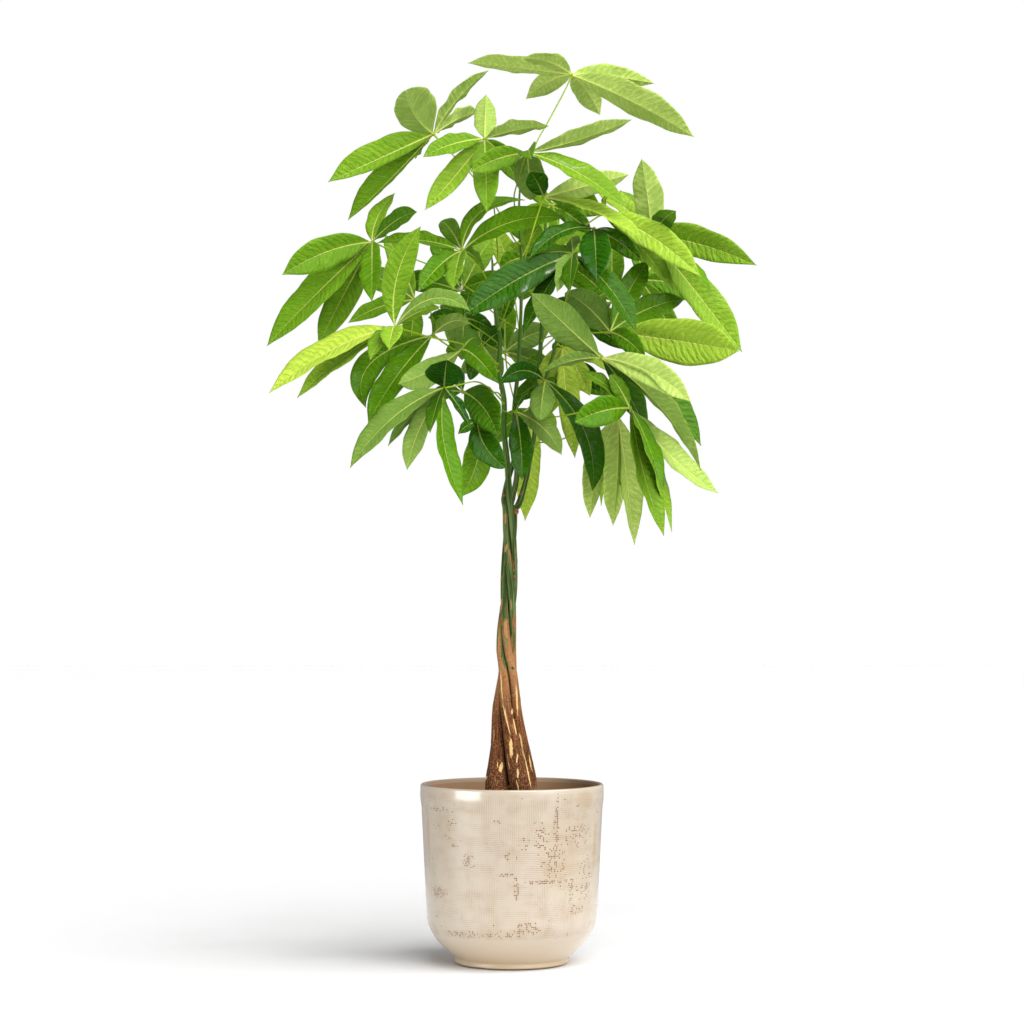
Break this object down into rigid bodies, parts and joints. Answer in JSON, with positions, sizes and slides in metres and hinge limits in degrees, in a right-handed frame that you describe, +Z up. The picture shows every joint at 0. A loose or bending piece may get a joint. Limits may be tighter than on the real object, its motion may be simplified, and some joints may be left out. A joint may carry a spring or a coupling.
{
  "type": "potted money tree",
  "caption": "Money tree (Pachira) with a twisted trunk and palmate leaves, in a cream glazed ceramic pot with a fine woven relief.",
  "frame": {"origin": "middle of the pot's flat underside, on the surface it stands on", "axes": "+Z up along the trunk; -Y faces the viewer of the reference picture; +X to that viewer's right"},
  "size_m": [0.5809, 0.405, 1.1098],
  "materials": {
    "glaze": "satin",
    "soil": "matte",
    "bark": "matte",
    "leaf": "satin"
  },
  "bodies": {
    "root": {"pot": "glaze", "soil": "soil", "stem_1": "bark", "stem_2": "bark", "stem_3": "bark", "stem_4": "bark", "leaf_a": "leaf", "leaf_b": "leaf", "leaf_c": "leaf", "leaf_d": "leaf", "leaf_e": "leaf", "leaf_f": "leaf", "leaf_g": "leaf", "leaf_h": "leaf", "leaf_i": "leaf", "leaf_j": "leaf", "leaf_k": "leaf", "leaf_l": "leaf", "leaf_m": "leaf", "leaf_n": "leaf", "leaf_o": "leaf", "leaf_p": "leaf", "leaf_q": "leaf", "leaf_r": "leaf", "leaf_s": "leaf", "leaf_t": "leaf", "leaf_u": "leaf", "leaf_v": "leaf", "leaf_w": "leaf", "leaf_x": "leaf", "leaf_y": "leaf", "leaf_z": "leaf", "leaf_aa": "leaf", "leaf_bb": "leaf", "leaf_cc": "leaf", "leaf_dd": "leaf", "leaf_ee": "leaf"}
  },
  "joints": []
}
